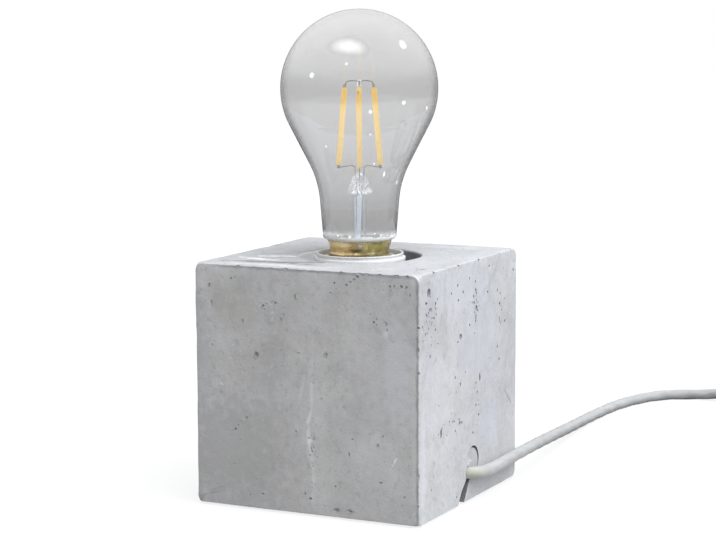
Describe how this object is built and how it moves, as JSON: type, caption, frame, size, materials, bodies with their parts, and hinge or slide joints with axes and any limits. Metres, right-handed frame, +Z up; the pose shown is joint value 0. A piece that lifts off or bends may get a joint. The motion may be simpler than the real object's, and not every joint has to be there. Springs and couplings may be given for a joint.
{
  "type": "concrete table lamp",
  "caption": "Cast concrete cube table lamp with a sunk white lampholder, a screw-in smoke-tinted filament bulb, and a flat cord with inline rocker switch and plug.",
  "frame": {"origin": "centre of the underside of the lamp, on the table", "axes": "+Z up along the bulb, front face toward -Y, the cord leaves the +X face"},
  "size_m": [0.2781, 0.3056, 0.202],
  "materials": {
    "concrete": "cast, matt, with small air holes",
    "foam_pad": "thin foam sheet",
    "mortar": "rough patch",
    "zinc_steel": "zinc plated",
    "grip_nylon": "nylon",
    "cord_sheath": "smooth flat cord, light grey",
    "core_brown": "insulated core",
    "core_blue": "insulated core",
    "holder_white": "moulded",
    "holder_insert": "unglazed",
    "contact_brass": "sprung strip",
    "smoke_glass": "smoke tinted, blown",
    "cap_brass": "polished",
    "cap_cement": "matt",
    "black_glass": "glossy",
    "solder_tip": "soldered",
    "clear_glass": "clear",
    "filament_phosphor": "phosphor coating, unlit",
    "support_wire": "nickel wire",
    "circuit_board": "board with parts",
    "tie_strap": "thin strap",
    "switch_white": "moulded",
    "rocker_white": "moulded",
    "plug_white": "moulded",
    "pin_nickel": "plated",
    "sleeve_black": "insulating sleeve"
  },
  "bodies": {
    "lamp": {"base_pad": "foam_pad", "centre_contact": "contact_brass", "coil_tie": "tie_strap", "concrete_block": "concrete", "contact_rivets": "contact_brass", "cord_coil": "cord_sheath", "cord_coil_to_plug": "cord_sheath", "cord_grip": "grip_nylon", "cord_inside": "cord_sheath", "cord_lamp_to_switch": "cord_sheath", "cord_switch_to_coil": "cord_sheath", "exit_mortar": "mortar", "grip_screw": "grip_nylon", "holder_cap": "holder_white", "holder_insert": "holder_insert", "holder_skirt": "holder_white", "live_core": "core_brown", "lock_nut": "zinc_steel", "neutral_core": "core_blue", "plug_body": "plug_white", "plug_pin_sleeves": "sleeve_black", "plug_pins": "pin_nickel", "plug_strain_relief": "plug_white", "screw_sleeve": "holder_white", "shelf_washer": "zinc_steel", "side_contact": "contact_brass", "switch_contacts": "contact_brass", "switch_live_cores": "core_brown", "switch_lower_case": "switch_white", "switch_neutral_core": "core_blue", "switch_screws": "zinc_steel", "switch_upper_case": "switch_white", "terminal_blocks": "contact_brass", "terminal_screws": "zinc_steel", "threaded_nipple": "zinc_steel"},
    "bulb_carrier": {"bulb_tip_contact": "solder_tip"},
    "bulb": {"bulb_glass": "smoke_glass", "bulb_screw_cap": "cap_brass", "cap_cement": "cap_cement", "cap_insulator": "black_glass", "bulb_stem": "clear_glass", "filament_sticks": "filament_phosphor", "filament_wires": "support_wire", "lead_wires": "support_wire", "driver_board": "circuit_board", "board_wires": "support_wire"},
    "rocker": {"switch_rocker": "rocker_white", "switch_bridge": "contact_brass"}
  },
  "joints": [
    {"name": "bulb_travel", "type": "slide", "parent": "lamp", "child": "bulb_carrier", "axis": [0, 0, 1], "range_m": [0, 0.01089]},
    {"name": "bulb_turn", "type": "hinge", "parent": "bulb_carrier", "child": "bulb", "pos_m": [0, 0, 0.0808], "axis": [0, 0, 1], "range_deg": [0, 1080]},
    {"name": "switch_press", "type": "hinge", "parent": "lamp", "child": "rocker", "pos_m": [0.15, 0.236, 0.0144], "axis": [-0.2419, -0.9703, 0], "range_deg": [0, 16]}
  ],
  "couplings": [
    {"joint": "bulb_travel", "follows": "bulb_turn", "m_per_rad": 0.00057757}
  ]
}
